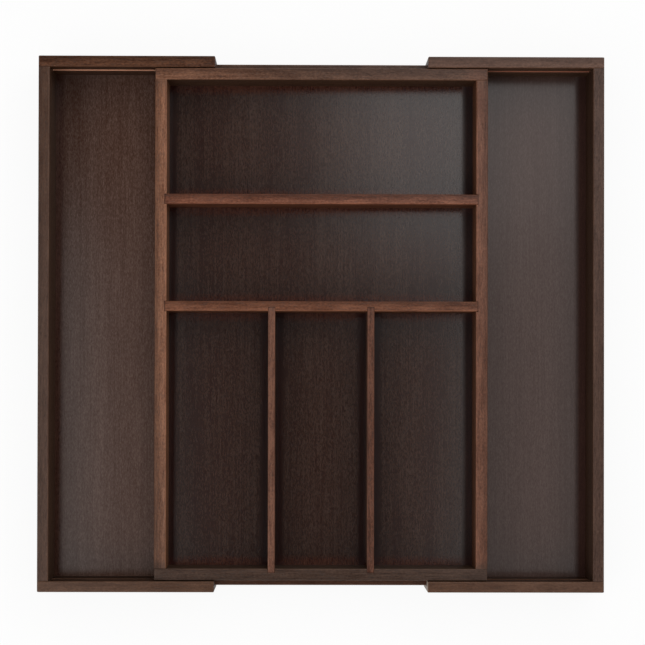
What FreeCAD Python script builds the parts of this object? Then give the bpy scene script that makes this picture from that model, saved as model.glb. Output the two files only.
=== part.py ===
"""Expandable wooden cutlery tray, with both side trays pulled out.

A divided centre tray stands between two side trays. Each side tray is a three-sided frame with its own
floor. Its two rails run outside the centre tray's front and back walls, and the runners on those walls slide
in grooves along the rails, so the side trays carry the centre tray just above their own floors.

Millimetres. X runs to the right, Y to the back and Z up, from the middle of the tray on the surface under it.
"""

import FreeCAD, Part
import os

import Sketcher
from FreeCAD import Placement, Rotation, Vector

# Driving sizes: alias, millimetres, what it measures
SIZES = [
    ("tray_depth", 480, "front to back over the rails"),
    ("tray_height", 65, "resting surface to the top of every wall and rail"),
    ("centre_width", 298, "left to right over the centre tray's side walls"),
    ("wing_travel", 94, "how far a side tray slides from closed to fully out"),
    ("closed_gap", 0.5, "end wall to centre tray when closed"),
    ("tip_gap", 3, "between the tips of the two side trays' rails when closed"),
    ("rail_thickness", 10, "boards of the side trays"),
    ("wall_thickness", 10.5, "boards round the centre tray"),
    ("cross_thickness", 9, "cross dividers"),
    ("long_thickness", 6.3, "lengthwise dividers"),
    ("wing_panel", 4, "floor panels of the side trays"),
    ("centre_panel", 5, "floor panel of the centre tray"),
    ("edge_radius", 1, "eased edges of the boards"),
    ("wing_lip", 4, "wood under a side tray's floor panel"),
    ("lift_gap", 1, "side tray's floor to the centre tray's walls above it"),
    ("centre_lip", 6.5, "wood under the centre tray's floor panel"),
    ("rear_clear", 102.3, "rear compartment, front to back"),
    ("second_clear", 87, "second compartment, front to back"),
    ("lane_clear", 82.5, "middle lengthwise compartment, left to right"),
    ("runner_drop", 19.8, "top of the wall to the top of its runner"),
    ("runner_height", 10.4, "runner, top to bottom"),
    ("runner_reach", 5.8, "how far a runner stands out of its wall"),
    ("runner_bed", 3, "how deep a runner is let into its wall"),
    ("side_gap", 0.8, "rail to the wall beside it"),
    ("lift_play", 0.6, "room in the groove over the runner"),
    ("reach_play", 0.5, "room in the groove beyond the runner's edge"),
    ("panel_inset", 4, "how far a floor panel goes into its grooves"),
    ("panel_play", 0.5, "groove deeper than the panel goes"),
    ("joint_fit", 0.1, "glue space in grooves and housings"),
    ("cross_housing", 2.2, "how deep the cross dividers are let into the side walls"),
    ("long_housing", 4, "how deep the lengthwise dividers are let in at both ends"),
    ("stop_width", 12, "stop batten, left to right"),
    ("stop_clear", 1.5, "stop batten to the centre tray's floor panel above it"),
    ("stop_length", 300, "stop batten, front to back"),
    ("stop_gap", 0.3, "stop batten to the side wall that it meets when fully out"),
    ("pin_diameter", 1.4, "shank of a corner pin"),
    ("pin_length", 30, "corner pin, over its head"),
    ("pin_head", 2.4, "diameter of a corner pin's head"),
    ("pin_head_depth", 0.8, "thickness of a corner pin's head"),
    ("pin_set", 0.6, "how far a pin is driven below the surface"),
    ("pin_fit", 0.1, "hole wider than its pin or screw"),
    ("screw_diameter", 3, "shank of a stop screw"),
    ("screw_cover", 2, "wood over the tip of a stop screw"),
    ("screw_head", 5.6, "diameter of a stop screw's head"),
    ("screw_head_depth", 1.5, "depth of a stop screw's countersunk head"),
    ("screw_pitch", 220, "between the two screws of a stop batten"),
]

# Places worked out from the driving sizes: alias, formula
LAYOUT = [
    ("rail_back", "Sizes.tray_depth / 2"),
    ("rail_face", "rail_back - Sizes.rail_thickness"),
    ("wall_back", "rail_face - Sizes.side_gap"),
    ("wall_face", "wall_back - Sizes.wall_thickness"),
    ("side_out", "Sizes.centre_width / 2"),
    ("side_face", "side_out - Sizes.wall_thickness"),
    ("side_mid", "side_out - Sizes.wall_thickness / 2"),
    ("end_face", "side_out + Sizes.closed_gap + Sizes.wing_travel"),
    ("end_out", "end_face + Sizes.rail_thickness"),
    ("end_mid", "end_face + Sizes.rail_thickness / 2"),
    ("rail_tip", "Sizes.tip_gap / 2 + Sizes.wing_travel"),
    ("wing_floor", "Sizes.wing_lip + Sizes.wing_panel"),
    ("wall_foot", "wing_floor + Sizes.lift_gap"),
    ("panel_foot", "wall_foot + Sizes.centre_lip"),
    ("centre_floor", "panel_foot + Sizes.centre_panel"),
    ("runner_top", "Sizes.tray_height - Sizes.runner_drop"),
    ("runner_foot", "runner_top - Sizes.runner_height"),
    ("runner_bed_face", "wall_back - Sizes.runner_bed"),
    ("runner_face", "wall_back + Sizes.runner_reach"),
    ("groove_top", "runner_top + Sizes.lift_play"),
    ("groove_back", "runner_face + Sizes.reach_play"),
    ("groove_inset", "Sizes.panel_inset + Sizes.panel_play"),
    ("rear_mid", "wall_face - Sizes.rear_clear - Sizes.cross_thickness / 2"),
    ("middle_back", "rear_mid - Sizes.cross_thickness / 2 - Sizes.second_clear"),
    ("middle_mid", "middle_back - Sizes.cross_thickness / 2"),
    ("middle_front", "middle_back - Sizes.cross_thickness"),
    ("lane_mid", "Sizes.lane_clear / 2 + Sizes.long_thickness / 2"),
    ("stop_out", "side_face - Sizes.stop_gap"),
    ("stop_in", "stop_out - Sizes.stop_width"),
    ("stop_mid", "stop_out - Sizes.stop_width / 2"),
    ("stop_top", "panel_foot - Sizes.stop_clear"),
    ("screw_tip", "stop_top - Sizes.screw_cover"),
    ("screw_place", "Sizes.screw_pitch / 2"),
    ("wing_pin_low", "(wing_floor + runner_foot) / 2"),
    ("wing_pin_high", "(groove_top + Sizes.tray_height) / 2"),
    ("centre_pin_low", "(wall_foot + panel_foot) / 2"),
    ("centre_pin_high", "(runner_top + Sizes.tray_height) / 2"),
    ("pin_bore", "Sizes.pin_set + Sizes.pin_length"),
]

LEFT, RIGHT = -1, 1
FRONT, BACK = -1, 1
SIDE_NAMES = {LEFT: "left", RIGHT: "right"}
FACE_NAMES = {FRONT: "front", BACK: "back"}
HEIGHT = "Sizes.tray_height"
START, END, CENTRE = 1, 2, 3  # points of a sketch line or circle
ORIGIN = -1, START  # a sketch's own origin
CLOSE = 1e-4  # two places nearer than this are one

doc = FreeCAD.newDocument("CutleryTray")
pieces = []


def fill_sheet(name, rows):
    """A sheet with one named cell for each row, and a note beside it where the row has one."""
    sheet = doc.addObject("Spreadsheet::Sheet", name)
    for line, (alias, content, *note) in enumerate(rows, 1):
        cell = f"A{line}"
        sheet.set(cell, str(content))
        sheet.setAlias(cell, alias)
        for text in note:
            sheet.set(f"B{line}", text)
    doc.recompute()
    return sheet


fill_sheet("Sizes", SIZES)
layout = fill_sheet("Layout", [(alias, f"={formula}") for alias, formula in LAYOUT])


def value(expression):
    """What an expression comes to now, in millimetres."""
    return float(layout.evalExpression(expression))


def signed(sign, expression):
    """The expression on the plus or the minus side of the middle."""
    return expression if sign > 0 else f"-({expression})"


def add_body(label):
    """An empty body for one piece."""
    body = doc.addObject("PartDesign::Body", label)
    body.Label = label
    pieces.append(body)
    return body


def add_sketch(body, role, offset="0"):
    """A sketch parallel to one of the body's origin planes, moved along its normal."""
    plane = next(item for item in body.Origin.OriginFeatures if item.Role == role)
    sketch = body.newObject("Sketcher::SketchObject", f"{body.Name}_sketch")
    sketch.AttachmentSupport = [(plane, "")]
    sketch.MapMode = "FlatFace"
    sketch.setExpression("AttachmentOffset.Base.z", offset)
    return sketch


def bind(sketch, kind, expression, *place):
    """A dimension of the sketch that follows an expression."""
    number = sketch.addConstraint(Sketcher.Constraint(kind, *place, value(expression)))
    sketch.setExpression(f"Constraints[{number}]", expression)


def draw_outline(sketch, corners):
    """A closed outline of level and upright lines through corners given as expressions."""
    first = sketch.GeometryCount
    points = [Vector(value(across), value(up), 0) for across, up in corners]
    following = list(range(1, len(corners))) + [0]
    for number, after in enumerate(following):
        sketch.addGeometry(Part.LineSegment(points[number], points[after]))
    for number, after in enumerate(following):
        line = first + number
        across, up = corners[number]
        sketch.addConstraint(Sketcher.Constraint("Coincident", line, END, first + after, START))
        if up == corners[after][1]:
            sketch.addConstraint(Sketcher.Constraint("Horizontal", line))
            bind(sketch, "DistanceY", up, *ORIGIN, line, START)
        else:
            sketch.addConstraint(Sketcher.Constraint("Vertical", line))
            bind(sketch, "DistanceX", across, *ORIGIN, line, START)


def draw_rectangle(sketch, left, right, low, high):
    draw_outline(sketch, [(left, low), (right, low), (right, high), (left, high)])


def draw_circle(sketch, across, up, diameter):
    circle = Part.Circle(Vector(value(across), value(up), 0), Vector(0, 0, 1), value(diameter) / 2)
    line = sketch.addGeometry(circle)
    bind(sketch, "DistanceX", across, *ORIGIN, line, CENTRE)
    bind(sketch, "DistanceY", up, *ORIGIN, line, CENTRE)
    bind(sketch, "Diameter", diameter, line)


def pad(body, sketch, length, sides="One side"):
    """Material from a sketch, along its normal or to both sides of it."""
    feature = body.newObject("PartDesign::Pad", f"{body.Name}_pad")
    feature.Profile = sketch
    feature.SideType = sides
    feature.setExpression("Length", length)
    doc.recompute()


def pocket(body, sketch, length, along_normal=False, sides="One side"):
    """A cut from a sketch, which has to take some wood away."""
    before = body.Shape.Volume
    feature = body.newObject("PartDesign::Pocket", f"{body.Name}_pocket")
    feature.Profile = sketch
    feature.Reversed = along_normal
    feature.SideType = sides
    feature.setExpression("Length", length)
    doc.recompute()
    if body.Shape.Volume >= before:
        raise RuntimeError(f"{feature.Label} cuts nothing")


def ease(body, picked):
    """Round over the edges whose extents the given test picks."""
    base = body.Tip
    names = [f"Edge{number}" for number, edge in enumerate(base.Shape.Edges, 1) if picked(edge.BoundBox)]
    fillet = body.newObject("PartDesign::Fillet", f"{body.Name}_eased")
    fillet.Base = (base, names)
    fillet.setExpression("Radius", "Sizes.edge_radius")
    doc.recompute()


def near(place, *others):
    return all(abs(place - other) < CLOSE for other in others)


def on_top(box):
    """An edge of a board's top face."""
    return near(value(HEIGHT), box.ZMin, box.ZMax)


def on_foot(box):
    """An edge of a face that stands on the surface under the tray."""
    return near(0, box.ZMin, box.ZMax)


def long_on_top(box):
    """An edge along the top face of a board, and not across its ends."""
    return on_top(box) and max(box.XLength, box.YLength) > value("2 * Sizes.wall_thickness")


def bare_on_rail(outer):
    """A test for a rail's bare edges: round the top, round the outer face and across the foot of each end."""
    return lambda box: on_top(box) or near(outer, box.YMin, box.YMax) or on_foot(box) and box.XLength < CLOSE


def bare_on_end_wall(outer):
    """A test for an end wall's bare edges: along the top and along the foot of the outer face."""
    return lambda box: long_on_top(box) or on_foot(box) and near(outer, box.XMin, box.XMax)


def bore_pins(body, face, outer, columns, heights, headed=True):
    """Holes for corner pins, driven from the outer face of the front or back board."""
    depths = [("Sizes.pin_diameter", "Layout.pin_bore")]
    if headed:
        depths.append(("Sizes.pin_head", "Sizes.pin_set + Sizes.pin_head_depth"))
    for diameter, depth in depths:
        sketch = add_sketch(body, "XZ_Plane", signed(-face, outer))
        for column in columns:
            for height in heights:
                draw_circle(sketch, column, height, f"{diameter} + Sizes.pin_fit")
        pocket(body, sketch, depth, along_normal=face == BACK)


WING_PINS = ["Layout.wing_pin_low", "Layout.wing_pin_high"]
CENTRE_PINS = ["Layout.centre_pin_low", "Layout.centre_pin_high"]
CENTRE_COLUMNS = ["-Layout.side_mid", "Layout.side_mid"]


def make_rail(side, face):
    """A side tray's front or back rail, with the groove that the runner slides in."""
    body = add_body(f"{SIDE_NAMES[side]}_{FACE_NAMES[face]}_rail")
    outer = signed(face, "Layout.rail_back")
    inner = signed(face, "Layout.rail_face")
    groove = signed(face, "Layout.groove_back")
    start = "-Layout.end_out" if side == LEFT else "Layout.rail_tip"
    section = add_sketch(body, "YZ_Plane", start)
    draw_outline(
        section,
        [
            (outer, "0"),
            (outer, HEIGHT),
            (inner, HEIGHT),
            (inner, "Layout.groove_top"),
            (groove, "Layout.groove_top"),
            (groove, "Layout.runner_foot"),
            (inner, "Layout.runner_foot"),
            (inner, "0"),
        ],
    )
    pad(body, section, "Layout.end_out - Layout.rail_tip")
    ease(body, bare_on_rail(value(outer)))
    panel_groove = add_sketch(body, "YZ_Plane", signed(side, "Layout.rail_tip"))
    draw_rectangle(
        panel_groove,
        inner,
        signed(face, "Layout.rail_face + Layout.groove_inset"),
        "Sizes.wing_lip",
        "Layout.wing_floor + Sizes.joint_fit",
    )
    groove_length = "Layout.end_face + Layout.groove_inset - Layout.rail_tip"
    pocket(body, panel_groove, groove_length, along_normal=side == RIGHT)
    bore_pins(body, face, "Layout.rail_back", [signed(side, "Layout.end_mid")], WING_PINS)


def make_end_wall(side):
    """A side tray's end wall, with a tongue at each end that closes the rail's groove."""
    body = add_body(f"{SIDE_NAMES[side]}_end_wall")
    outer = signed(side, "Layout.end_out")
    inner = signed(side, "Layout.end_face")
    groove = signed(side, "Layout.end_face + Layout.groove_inset")
    groove_top = "Layout.wing_floor + Sizes.joint_fit"
    section = add_sketch(body, "XZ_Plane")
    draw_outline(
        section,
        [
            (outer, "0"),
            (outer, HEIGHT),
            (inner, HEIGHT),
            (inner, groove_top),
            (groove, groove_top),
            (groove, "Sizes.wing_lip"),
            (inner, "Sizes.wing_lip"),
            (inner, "0"),
        ],
    )
    pad(body, section, "2 * Layout.rail_face", sides="Symmetric")
    ease(body, bare_on_end_wall(value(outer)))
    tongue = add_sketch(body, "XZ_Plane")
    draw_rectangle(
        tongue, outer, inner, "Layout.runner_foot + Sizes.joint_fit", "Layout.groove_top - Sizes.joint_fit"
    )
    pad(body, tongue, "2 * (Layout.groove_back - Sizes.joint_fit)", sides="Symmetric")
    column = signed(side, "Layout.end_mid")
    for face in (FRONT, BACK):
        bore_pins(body, face, "Layout.rail_back", [column], WING_PINS, headed=False)


def make_wing_floor(side):
    """A side tray's floor panel, in grooves on three sides and drilled for the stop's screws."""
    body = add_body(f"{SIDE_NAMES[side]}_floor")
    sheet = add_sketch(body, "XY_Plane", "Sizes.wing_lip")
    reach = "Layout.rail_face + Sizes.panel_inset"
    draw_rectangle(
        sheet,
        signed(side, "Layout.end_face + Sizes.panel_inset"),
        signed(side, "Layout.stop_in"),
        f"-({reach})",
        reach,
    )
    pad(body, sheet, "Sizes.wing_panel")
    centres = add_sketch(body, "XY_Plane", "Sizes.wing_lip")
    column = signed(side, "Layout.stop_mid")
    for end in (FRONT, BACK):
        draw_circle(centres, column, signed(end, "Layout.screw_place"), "Sizes.screw_diameter")
    doc.recompute()
    before = body.Shape.Volume
    hole = body.newObject("PartDesign::Hole", f"{body.Name}_hole")
    hole.Profile = centres
    hole.Reversed = True
    hole.DepthType = "ThroughAll"
    hole.HoleCutType = "Countersink"
    hole.HoleCutCustomValues = True
    hole.setExpression("Diameter", "Sizes.screw_diameter + Sizes.pin_fit")
    hole.setExpression("HoleCutDiameter", "Sizes.screw_head + Sizes.pin_fit")
    slope = "(Sizes.screw_head - Sizes.screw_diameter) / 2 / Sizes.screw_head_depth"
    hole.setExpression("HoleCutCountersinkAngle", f"2 * atan({slope})")
    doc.recompute()
    if body.Shape.Volume >= before:
        raise RuntimeError(f"{hole.Label} cuts nothing")


def make_stop_batten(side):
    """The batten on a side tray's floor that meets the inside of the centre tray's side wall."""
    body = add_body(f"{SIDE_NAMES[side]}_stop_batten")
    foot = add_sketch(body, "XY_Plane", "Layout.wing_floor")
    outer = signed(side, "Layout.stop_out")
    inner = signed(side, "Layout.stop_in")
    draw_rectangle(foot, outer, inner, "-Sizes.stop_length / 2", "Sizes.stop_length / 2")
    pad(body, foot, "Layout.stop_top - Layout.wing_floor")
    ease(body, lambda box: near(value("Layout.stop_top"), box.ZMin, box.ZMax))
    pilots = add_sketch(body, "XY_Plane", "Layout.wing_floor")
    column = signed(side, "Layout.stop_mid")
    pilot = "Sizes.screw_diameter + Sizes.pin_fit"
    for end in (FRONT, BACK):
        draw_circle(pilots, column, signed(end, "Layout.screw_place"), pilot)
    pocket(body, pilots, "Layout.screw_tip + Sizes.joint_fit - Layout.wing_floor", along_normal=True)


def make_long_wall(face):
    """The centre tray's front or back wall: a bed outside for its runner, a groove inside for the floor."""
    body = add_body(f"centre_{FACE_NAMES[face]}_wall")
    outer = signed(face, "Layout.wall_back")
    inner = signed(face, "Layout.wall_face")
    bed = signed(face, "Layout.runner_bed_face")
    section = add_sketch(body, "YZ_Plane")
    draw_outline(
        section,
        [
            (outer, "Layout.wall_foot"),
            (outer, "Layout.runner_foot"),
            (bed, "Layout.runner_foot"),
            (bed, "Layout.runner_top"),
            (outer, "Layout.runner_top"),
            (outer, HEIGHT),
            (inner, HEIGHT),
            (inner, "Layout.wall_foot"),
        ],
    )
    pad(body, section, "Sizes.centre_width", sides="Symmetric")
    ease(body, on_top)
    panel_groove = add_sketch(body, "YZ_Plane")
    draw_rectangle(
        panel_groove,
        inner,
        signed(face, "Layout.wall_face + Layout.groove_inset"),
        "Layout.panel_foot",
        "Layout.centre_floor + Sizes.joint_fit",
    )
    pocket(body, panel_groove, "2 * (Layout.side_face + Layout.groove_inset)", sides="Symmetric")
    bore_pins(body, face, "Layout.wall_back", CENTRE_COLUMNS, CENTRE_PINS)
    return body


def make_side_wall(side):
    """The centre tray's left or right wall, with housings inside for the cross dividers."""
    body = add_body(f"centre_{SIDE_NAMES[side]}_wall")
    outer = signed(side, "Layout.side_out")
    inner = signed(side, "Layout.side_face")
    groove = signed(side, "Layout.side_face + Layout.groove_inset")
    groove_top = "Layout.centre_floor + Sizes.joint_fit"
    section = add_sketch(body, "XZ_Plane")
    draw_outline(
        section,
        [
            (outer, "Layout.wall_foot"),
            (outer, HEIGHT),
            (inner, HEIGHT),
            (inner, groove_top),
            (groove, groove_top),
            (groove, "Layout.panel_foot"),
            (inner, "Layout.panel_foot"),
            (inner, "Layout.wall_foot"),
        ],
    )
    pad(body, section, "2 * Layout.wall_face", sides="Symmetric")
    ease(body, long_on_top)
    housings = add_sketch(body, "XY_Plane", HEIGHT)
    for middle in ("Layout.rear_mid", "Layout.middle_mid"):
        half = "(Sizes.cross_thickness / 2 + Sizes.joint_fit)"
        draw_rectangle(
            housings,
            inner,
            signed(side, "Layout.side_face + Sizes.cross_housing"),
            f"{middle} - {half}",
            f"{middle} + {half}",
        )
    pocket(body, housings, "Sizes.tray_height - Layout.centre_floor")
    column = signed(side, "Layout.side_mid")
    for face in (FRONT, BACK):
        bore_pins(body, face, "Layout.wall_back", [column], CENTRE_PINS, headed=False)


def make_centre_floor():
    """The centre tray's floor panel, in grooves on all four sides."""
    body = add_body("centre_floor")
    sheet = add_sketch(body, "XY_Plane", "Layout.panel_foot")
    width = "Layout.side_face + Sizes.panel_inset"
    depth = "Layout.wall_face + Sizes.panel_inset"
    draw_rectangle(sheet, f"-({width})", width, f"-({depth})", depth)
    pad(body, sheet, "Sizes.centre_panel")


def make_divider(label, left, right, front, back):
    """A divider that stands on the centre tray's floor, flush with the walls."""
    body = add_body(label)
    foot = add_sketch(body, "XY_Plane", "Layout.centre_floor")
    draw_rectangle(foot, left, right, front, back)
    pad(body, foot, "Sizes.tray_height - Layout.centre_floor")
    ease(body, long_on_top)
    return body


def make_cross_divider(label, middle):
    """A divider from side wall to side wall."""
    reach = "Layout.side_face + Sizes.cross_housing - Sizes.joint_fit"
    half = "Sizes.cross_thickness / 2"
    return make_divider(label, f"-({reach})", reach, f"{middle} - {half}", f"{middle} + {half}")


def make_long_divider(side):
    """A divider from the front wall to the middle cross divider."""
    middle = signed(side, "Layout.lane_mid")
    half = "Sizes.long_thickness / 2"
    depth = "Sizes.long_housing - Sizes.joint_fit"
    make_divider(
        f"{SIDE_NAMES[side]}_long_divider",
        f"{middle} - {half}",
        f"{middle} + {half}",
        f"-(Layout.wall_face + {depth})",
        f"Layout.middle_front + {depth}",
    )


def house_long_dividers(body, face, deep):
    """Housings from the top of a board for the ends of the lengthwise dividers."""
    housings = add_sketch(body, "XY_Plane", HEIGHT)
    for side in (LEFT, RIGHT):
        middle = signed(side, "Layout.lane_mid")
        half = "(Sizes.long_thickness / 2 + Sizes.joint_fit)"
        draw_rectangle(housings, f"{middle} - {half}", f"{middle} + {half}", face, deep)
    pocket(body, housings, "Sizes.tray_height - Layout.centre_floor")


def make_runner(face):
    """The hardwood strip outside a front or back wall that slides in the rails' grooves."""
    body = add_body(f"{FACE_NAMES[face]}_runner")
    outer = signed(face, "Layout.runner_face")
    inner = signed(face, "Layout.runner_bed_face")
    section = add_sketch(body, "YZ_Plane")
    draw_rectangle(section, outer, inner, "Layout.runner_foot", "Layout.runner_top")
    pad(body, section, "Sizes.centre_width", sides="Symmetric")
    ease(body, lambda box: near(value(outer), box.YMin, box.YMax))


def place(solid, turn, across, along, up):
    """Turn a solid of revolution and bind its foot to a place."""
    solid.Placement = Placement(Vector(), turn)
    for axis, expression in zip("xyz", (across, along, up)):
        solid.setExpression(f"Placement.Base.{axis}", expression)


def make_cylinder(diameter, height):
    solid = doc.addObject("Part::Cylinder", "Shank")
    solid.setExpression("Radius", f"{diameter} / 2")
    solid.setExpression("Height", height)
    return solid


def join_solids(head, shank):
    joined = doc.addObject("Part::Fuse", "Fastener")
    joined.Base = head
    joined.Tool = shank
    return joined


def make_group(label, members):
    """Identical fasteners kept together as separate solids of one piece."""
    group = doc.addObject("Part::Compound", label)
    group.Label = label
    group.Links = members
    pieces.append(group)


def make_pin(face, outer, column, height):
    """A corner pin with its head just below the outer face."""
    inward = Rotation(Vector(0, 0, 1), Vector(0, -face, 0))
    start = signed(face, f"{outer} - Sizes.pin_set")
    shank = make_cylinder("Sizes.pin_diameter", "Sizes.pin_length")
    head = make_cylinder("Sizes.pin_head", "Sizes.pin_head_depth")
    for solid in (shank, head):
        place(solid, inward, column, start, height)
    return join_solids(head, shank)


def make_corner_pins(label, outer, columns, heights):
    """The pins of every corner between the front or back boards and the boards that meet them."""
    members = []
    for face in (FRONT, BACK):
        for column in columns:
            members += [make_pin(face, outer, column, height) for height in heights]
    make_group(label, members)


def make_stop_screws(side):
    """The countersunk screws that hold a stop batten from under the floor panel."""
    members = []
    column = signed(side, "Layout.stop_mid")
    for end in (FRONT, BACK):
        head = doc.addObject("Part::Cone", "Head")
        head.setExpression("Radius1", "Sizes.screw_head / 2")
        head.setExpression("Radius2", "Sizes.screw_diameter / 2")
        head.setExpression("Height", "Sizes.screw_head_depth")
        shank = make_cylinder("Sizes.screw_diameter", "Layout.screw_tip - Sizes.wing_lip")
        for solid in (head, shank):
            place(solid, Rotation(), column, signed(end, "Layout.screw_place"), "Sizes.wing_lip")
        members.append(join_solids(head, shank))
    make_group(f"{SIDE_NAMES[side]}_stop_screws", members)


def make_centre_tray():
    make_long_wall(BACK)
    front_wall = make_long_wall(FRONT)
    house_long_dividers(front_wall, "-Layout.wall_face", "-(Layout.wall_face + Sizes.long_housing)")
    for side in (LEFT, RIGHT):
        make_side_wall(side)
    make_centre_floor()
    make_cross_divider("rear_cross_divider", "Layout.rear_mid")
    middle = make_cross_divider("middle_cross_divider", "Layout.middle_mid")
    house_long_dividers(middle, "Layout.middle_front", "Layout.middle_front + Sizes.long_housing")
    for side in (LEFT, RIGHT):
        make_long_divider(side)
    for face in (FRONT, BACK):
        make_runner(face)
    make_corner_pins("centre_corner_pins", "Layout.wall_back", CENTRE_COLUMNS, CENTRE_PINS)


def make_side_tray(side):
    for face in (FRONT, BACK):
        make_rail(side, face)
    make_end_wall(side)
    make_wing_floor(side)
    make_stop_batten(side)
    column = signed(side, "Layout.end_mid")
    make_corner_pins(f"{SIDE_NAMES[side]}_corner_pins", "Layout.rail_back", [column], WING_PINS)
    make_stop_screws(side)


def check_document():
    """Stop if any object of the document failed or any piece is not a sound solid."""
    doc.recompute()
    failed = [item.Label for item in doc.Objects if {"Invalid", "Error"} & set(item.State)]
    failed += [piece.Label for piece in pieces if piece.Shape.isNull() or not piece.Shape.isValid()]
    if failed:
        raise RuntimeError(f"failed: {', '.join(failed)}")


def write_pieces():
    os.makedirs("parts", exist_ok=True)
    for piece in pieces:
        piece.Shape.exportStep(f"parts/{piece.Label}.step")
        print(f"{piece.Label}: {len(piece.Shape.Solids)} solid(s), {piece.Shape.Volume / 1000:.1f} cm3")


make_centre_tray()
for side in (LEFT, RIGHT):
    make_side_tray(side)
check_document()
write_pieces()
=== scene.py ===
# %% [markdown]
# # A cutlery tray that widens
# The real object is a drawer tray of dark stained wood. A centre tray with five compartments stays in the
# middle, and a side tray slides out of it on either hand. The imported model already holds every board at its
# true size and place, so this lesson dresses it: a camera straight above, soft light, stained wood with its
# own grain on each board, satin floor panels, and the small things that a maker adds by hand.

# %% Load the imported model
import math

import bpy
from mathutils import Matrix, Vector


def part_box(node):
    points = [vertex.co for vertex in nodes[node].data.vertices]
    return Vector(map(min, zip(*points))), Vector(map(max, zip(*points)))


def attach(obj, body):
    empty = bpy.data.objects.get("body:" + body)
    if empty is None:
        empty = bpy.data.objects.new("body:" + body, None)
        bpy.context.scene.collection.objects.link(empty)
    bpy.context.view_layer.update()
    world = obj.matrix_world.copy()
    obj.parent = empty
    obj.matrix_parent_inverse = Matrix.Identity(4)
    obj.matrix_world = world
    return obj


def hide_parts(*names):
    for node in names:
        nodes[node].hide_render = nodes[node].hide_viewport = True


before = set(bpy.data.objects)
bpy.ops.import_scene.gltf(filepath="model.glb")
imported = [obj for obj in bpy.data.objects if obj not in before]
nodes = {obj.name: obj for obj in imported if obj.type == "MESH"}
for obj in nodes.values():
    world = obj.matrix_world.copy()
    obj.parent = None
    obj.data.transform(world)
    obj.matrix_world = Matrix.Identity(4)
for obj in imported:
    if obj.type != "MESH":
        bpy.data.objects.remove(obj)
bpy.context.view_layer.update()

MM = 0.001

# %% [markdown]
# ## The camera
# The photograph was taken from straight above with a long lens, a little in front of the tray's middle, so
# a sliver of each inner face shows. A long lens far away keeps the boards nearly parallel. A wide lens
# close by would show far more of the inner faces, and an orthographic camera would show none, so neither
# was chosen.

# %% Camera above the tray
IMAGE_SIDE = 645
FOCAL_IN_PIXELS = 2400
SENSOR = 36
SHIFT_UP = 0.065
CAMERA_PLACE = (-19.4, -59.4, 2212.0)
CAMERA_TURN = (0.62, -0.55, 0.12)

camera = bpy.data.objects.new("camera_above", bpy.data.cameras.new("camera_above"))
bpy.context.scene.collection.objects.link(camera)
bpy.context.scene.camera = camera
camera.data.sensor_width = SENSOR
camera.data.lens = SENSOR * FOCAL_IN_PIXELS / IMAGE_SIDE
camera.data.shift_y = SHIFT_UP
camera.location = Vector(CAMERA_PLACE) * MM
camera.rotation_euler = [math.radians(angle) for angle in CAMERA_TURN]
print("lens in mm:", round(camera.data.lens, 1), "height in mm:", round(camera.location.z / MM))

# %% [markdown]
# ## Nodes in plain words
# A material is a small network of nodes. Written out by hand, each node takes four or five lines, which
# hides the idea, so a few helpers shorten that: one does a sum, one makes a soft step, one blends two
# colours, one stretches a noise along the grain. A number that is the same all over a surface still goes
# straight onto the shader's own socket.

# %% Sums and soft steps
def feed(tree, socket, value):
    """Joins a node's output to a socket, or writes a plain number or colour on it."""
    if isinstance(value, bpy.types.NodeSocket):
        tree.links.new(value, socket)
    else:
        socket.default_value = value


def work(tree, operation, *terms):
    """One sum on the values that reach it."""
    node = tree.nodes.new("ShaderNodeMath")
    node.operation = operation
    for socket, term in zip(node.inputs, terms):
        feed(tree, socket, term)
    return node.outputs[0]


def fade(tree, value, start, end, low=0.0, high=1.0):
    """A soft step: low before start, high after end."""
    node = tree.nodes.new("ShaderNodeMapRange")
    node.interpolation_type = "SMOOTHSTEP"
    for socket, term in zip(node.inputs, (value, start, end, low, high)):
        feed(tree, socket, term)
    return node.outputs[0]


print("sums and steps ready")

# %% Colours and noise
def stain(red, green, blue):
    """A colour as a paint chart gives it, 0 to 255, turned into the linear light that shaders use."""
    share = [x / 255 for x in (red, green, blue)]
    return [x / 12.92 if x <= 0.04045 else ((x + 0.055) / 1.055) ** 2.4 for x in share] + [1]


def blend(tree, share, first, second, how="MIX"):
    """Two colours laid over each other, by a share from 0 to 1. The node's colour sockets are 6 and 7."""
    node = tree.nodes.new("ShaderNodeMix")
    node.data_type = "RGBA"
    node.blend_type = how
    feed(tree, node.inputs[0], share)
    feed(tree, node.inputs[6], first)
    feed(tree, node.inputs[7], second)
    return node.outputs[2]


def ladder(tree, value, steps):
    """A colour ramp: each step is a place from 0 to 1 and a colour."""
    node = tree.nodes.new("ShaderNodeValToRGB")
    rungs = node.color_ramp.elements
    while len(rungs) < len(steps):
        rungs.new(1.0)
    for rung, (place, colour) in zip(rungs, steps):
        rung.position = place
        rung.color = colour
    tree.links.new(value, node.inputs[0])
    return node.outputs[0]


def streaks(tree, space, along, across, detail=3.0, rough=0.55, bend=0.0):
    """Noise with that many waves to the metre along the grain and across it."""
    stretch = tree.nodes.new("ShaderNodeMapping")
    stretch.inputs["Scale"].default_value = (along, across, across)
    tree.links.new(space, stretch.inputs["Vector"])
    noise = tree.nodes.new("ShaderNodeTexNoise")
    tree.links.new(stretch.outputs[0], noise.inputs["Vector"])
    noise.inputs["Scale"].default_value = 1.0
    noise.inputs["Detail"].default_value = detail
    noise.inputs["Roughness"].default_value = rough
    noise.inputs["Distortion"].default_value = bend
    return noise.outputs[0]


def new_finish(name):
    """An empty material with its surface shader, and the tree to build in."""
    finish = bpy.data.materials.new(name)
    finish.use_nodes = True
    return finish, finish.node_tree, finish.node_tree.nodes["Principled BSDF"]


print("colours and noise ready")

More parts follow.
